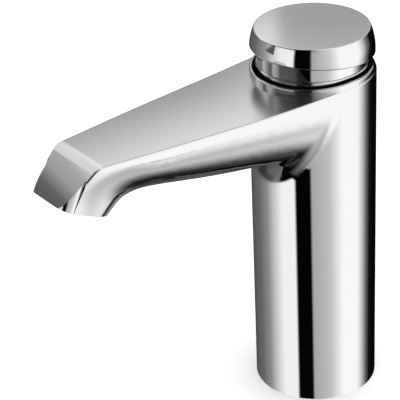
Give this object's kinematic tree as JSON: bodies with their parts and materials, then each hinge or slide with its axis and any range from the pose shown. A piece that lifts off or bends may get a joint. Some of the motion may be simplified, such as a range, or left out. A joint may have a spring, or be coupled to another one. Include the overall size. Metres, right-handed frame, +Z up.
{
  "type": "basin tap",
  "caption": "Self-closing pillar tap: a round column with a flat-topped push button above it and a broad tapering spout that ends in a downturned nose.",
  "frame": {"origin": "centre of the column's base, on the plane that rests on the basin's deck", "axes": "+Z up along the column, -Y along the spout towards its nose, X across the spout"},
  "size_m": [0.048, 0.1435, 0.2109],
  "materials": {
    "polished_chrome": "polished",
    "turned_brass": "turned",
    "seal_rubber": "moulded",
    "acetal": "moulded",
    "stainless_steel": "bright drawn"
  },
  "bodies": {
    "tap": {"tap_body": "polished_chrome", "aerator_shell": "polished_chrome", "cartridge_housing": "turned_brass", "valve_seat": "turned_brass", "gland_bush": "turned_brass", "retaining_nut": "turned_brass", "timing_screw": "turned_brass", "base_gasket": "seal_rubber", "clamp_pad": "seal_rubber", "housing_seal": "seal_rubber", "flange_seal": "seal_rubber", "spindle_seal": "seal_rubber", "aerator_seal": "seal_rubber", "aerator_insert": "acetal", "fixing_stud": "stainless_steel", "clamp_plate": "stainless_steel", "fixing_nut": "stainless_steel", "return_spring": "stainless_steel", "inlet_strainer": "stainless_steel", "aerator_screen": "stainless_steel"},
    "button": {"push_cap": "polished_chrome", "button_skirt": "polished_chrome", "skirt_ring": "polished_chrome", "spindle": "turned_brass", "spindle_nut": "turned_brass", "valve_washer": "seal_rubber", "washer_screw": "stainless_steel", "timing_piston": "acetal", "piston_seal": "seal_rubber", "piston_clip": "stainless_steel"}
  },
  "joints": [
    {"name": "button_press", "type": "slide", "parent": "tap", "child": "button", "axis": [0, 0, -1], "range_m": [0, 0.003], "stiffness_N_per_m": 1500, "springref_m": -0.01, "deforming": ["return_spring"]}
  ]
}
